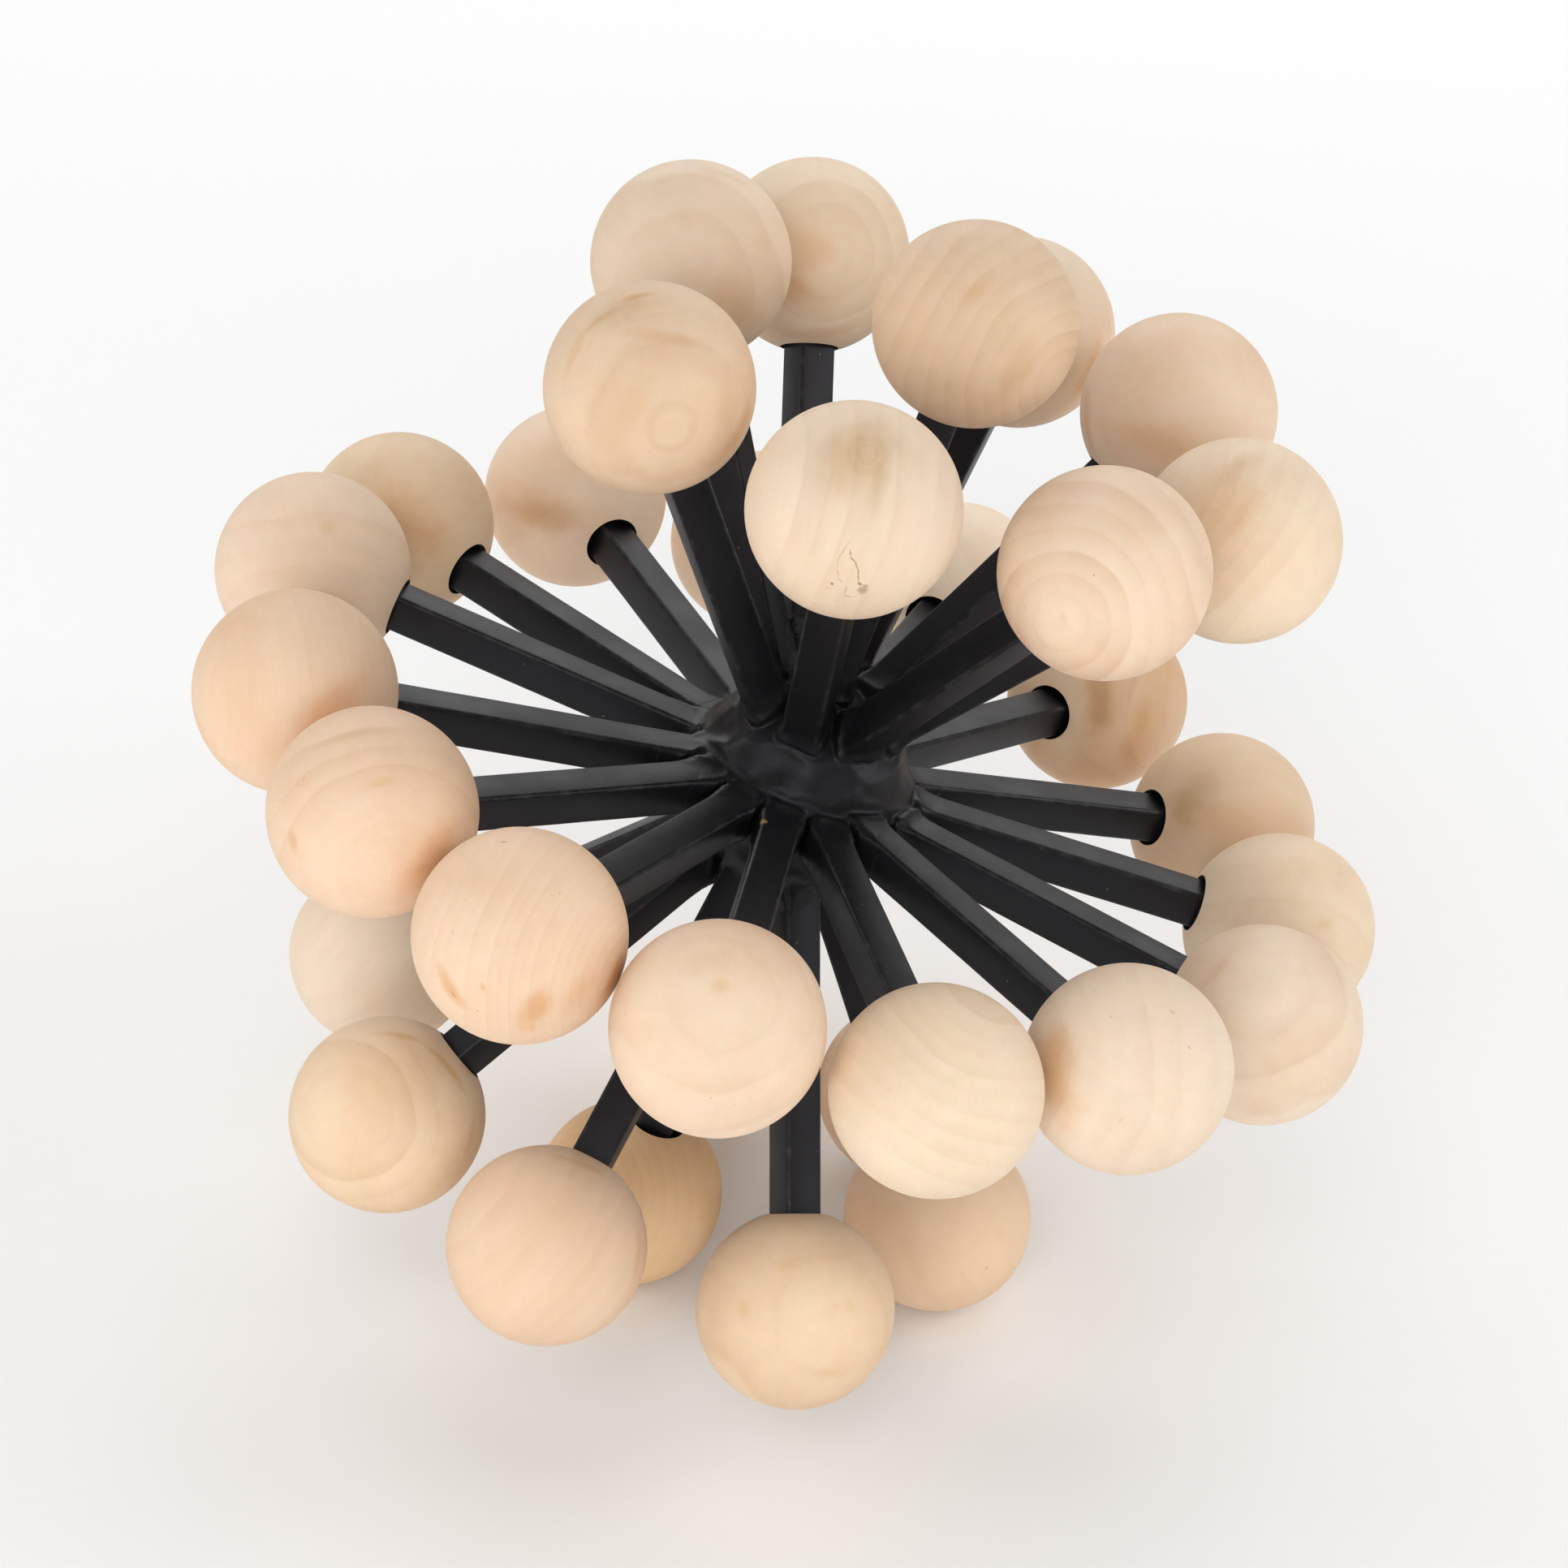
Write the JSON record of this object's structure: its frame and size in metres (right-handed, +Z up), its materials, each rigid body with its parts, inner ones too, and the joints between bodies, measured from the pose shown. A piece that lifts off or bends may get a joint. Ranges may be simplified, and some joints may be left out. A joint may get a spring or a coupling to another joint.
{
  "type": "decorative sphere",
  "caption": "Tabletop ornament: turned wooden balls held out on square steel bars from a welded hub, together making an open sphere.",
  "frame": {"origin": "on the surface it stands on, below the centre of the sphere's outline", "axes": "+Z up as it stands; +Y away from a viewer who stands where the picture was taken; the sphere's own pole leans towards +X"},
  "size_m": [0.3002, 0.3146, 0.3038],
  "materials": {
    "wood": "satin, pale turned wood with growth rings",
    "painted_steel": "matt black paint"
  },
  "bodies": {
    "root": {"welded_frame": "painted_steel", "ball_north": "wood", "ball_south": "wood", "ball_upper_1": "wood", "ball_upper_2": "wood", "ball_upper_3": "wood", "ball_upper_4": "wood", "ball_upper_5": "wood", "ball_upper_6": "wood", "ball_upper_7": "wood", "ball_upper_8": "wood", "ball_equator_01": "wood", "ball_equator_02": "wood", "ball_equator_03": "wood", "ball_equator_04": "wood", "ball_equator_05": "wood", "ball_equator_06": "wood", "ball_equator_07": "wood", "ball_equator_08": "wood", "ball_equator_09": "wood", "ball_equator_10": "wood", "ball_equator_11": "wood", "ball_equator_12": "wood", "ball_equator_13": "wood", "ball_equator_14": "wood", "ball_equator_15": "wood", "ball_lower_1": "wood", "ball_lower_2": "wood", "ball_lower_3": "wood", "ball_lower_4": "wood", "ball_lower_5": "wood", "ball_lower_6": "wood", "ball_lower_7": "wood", "ball_lower_8": "wood"}
  },
  "joints": []
}
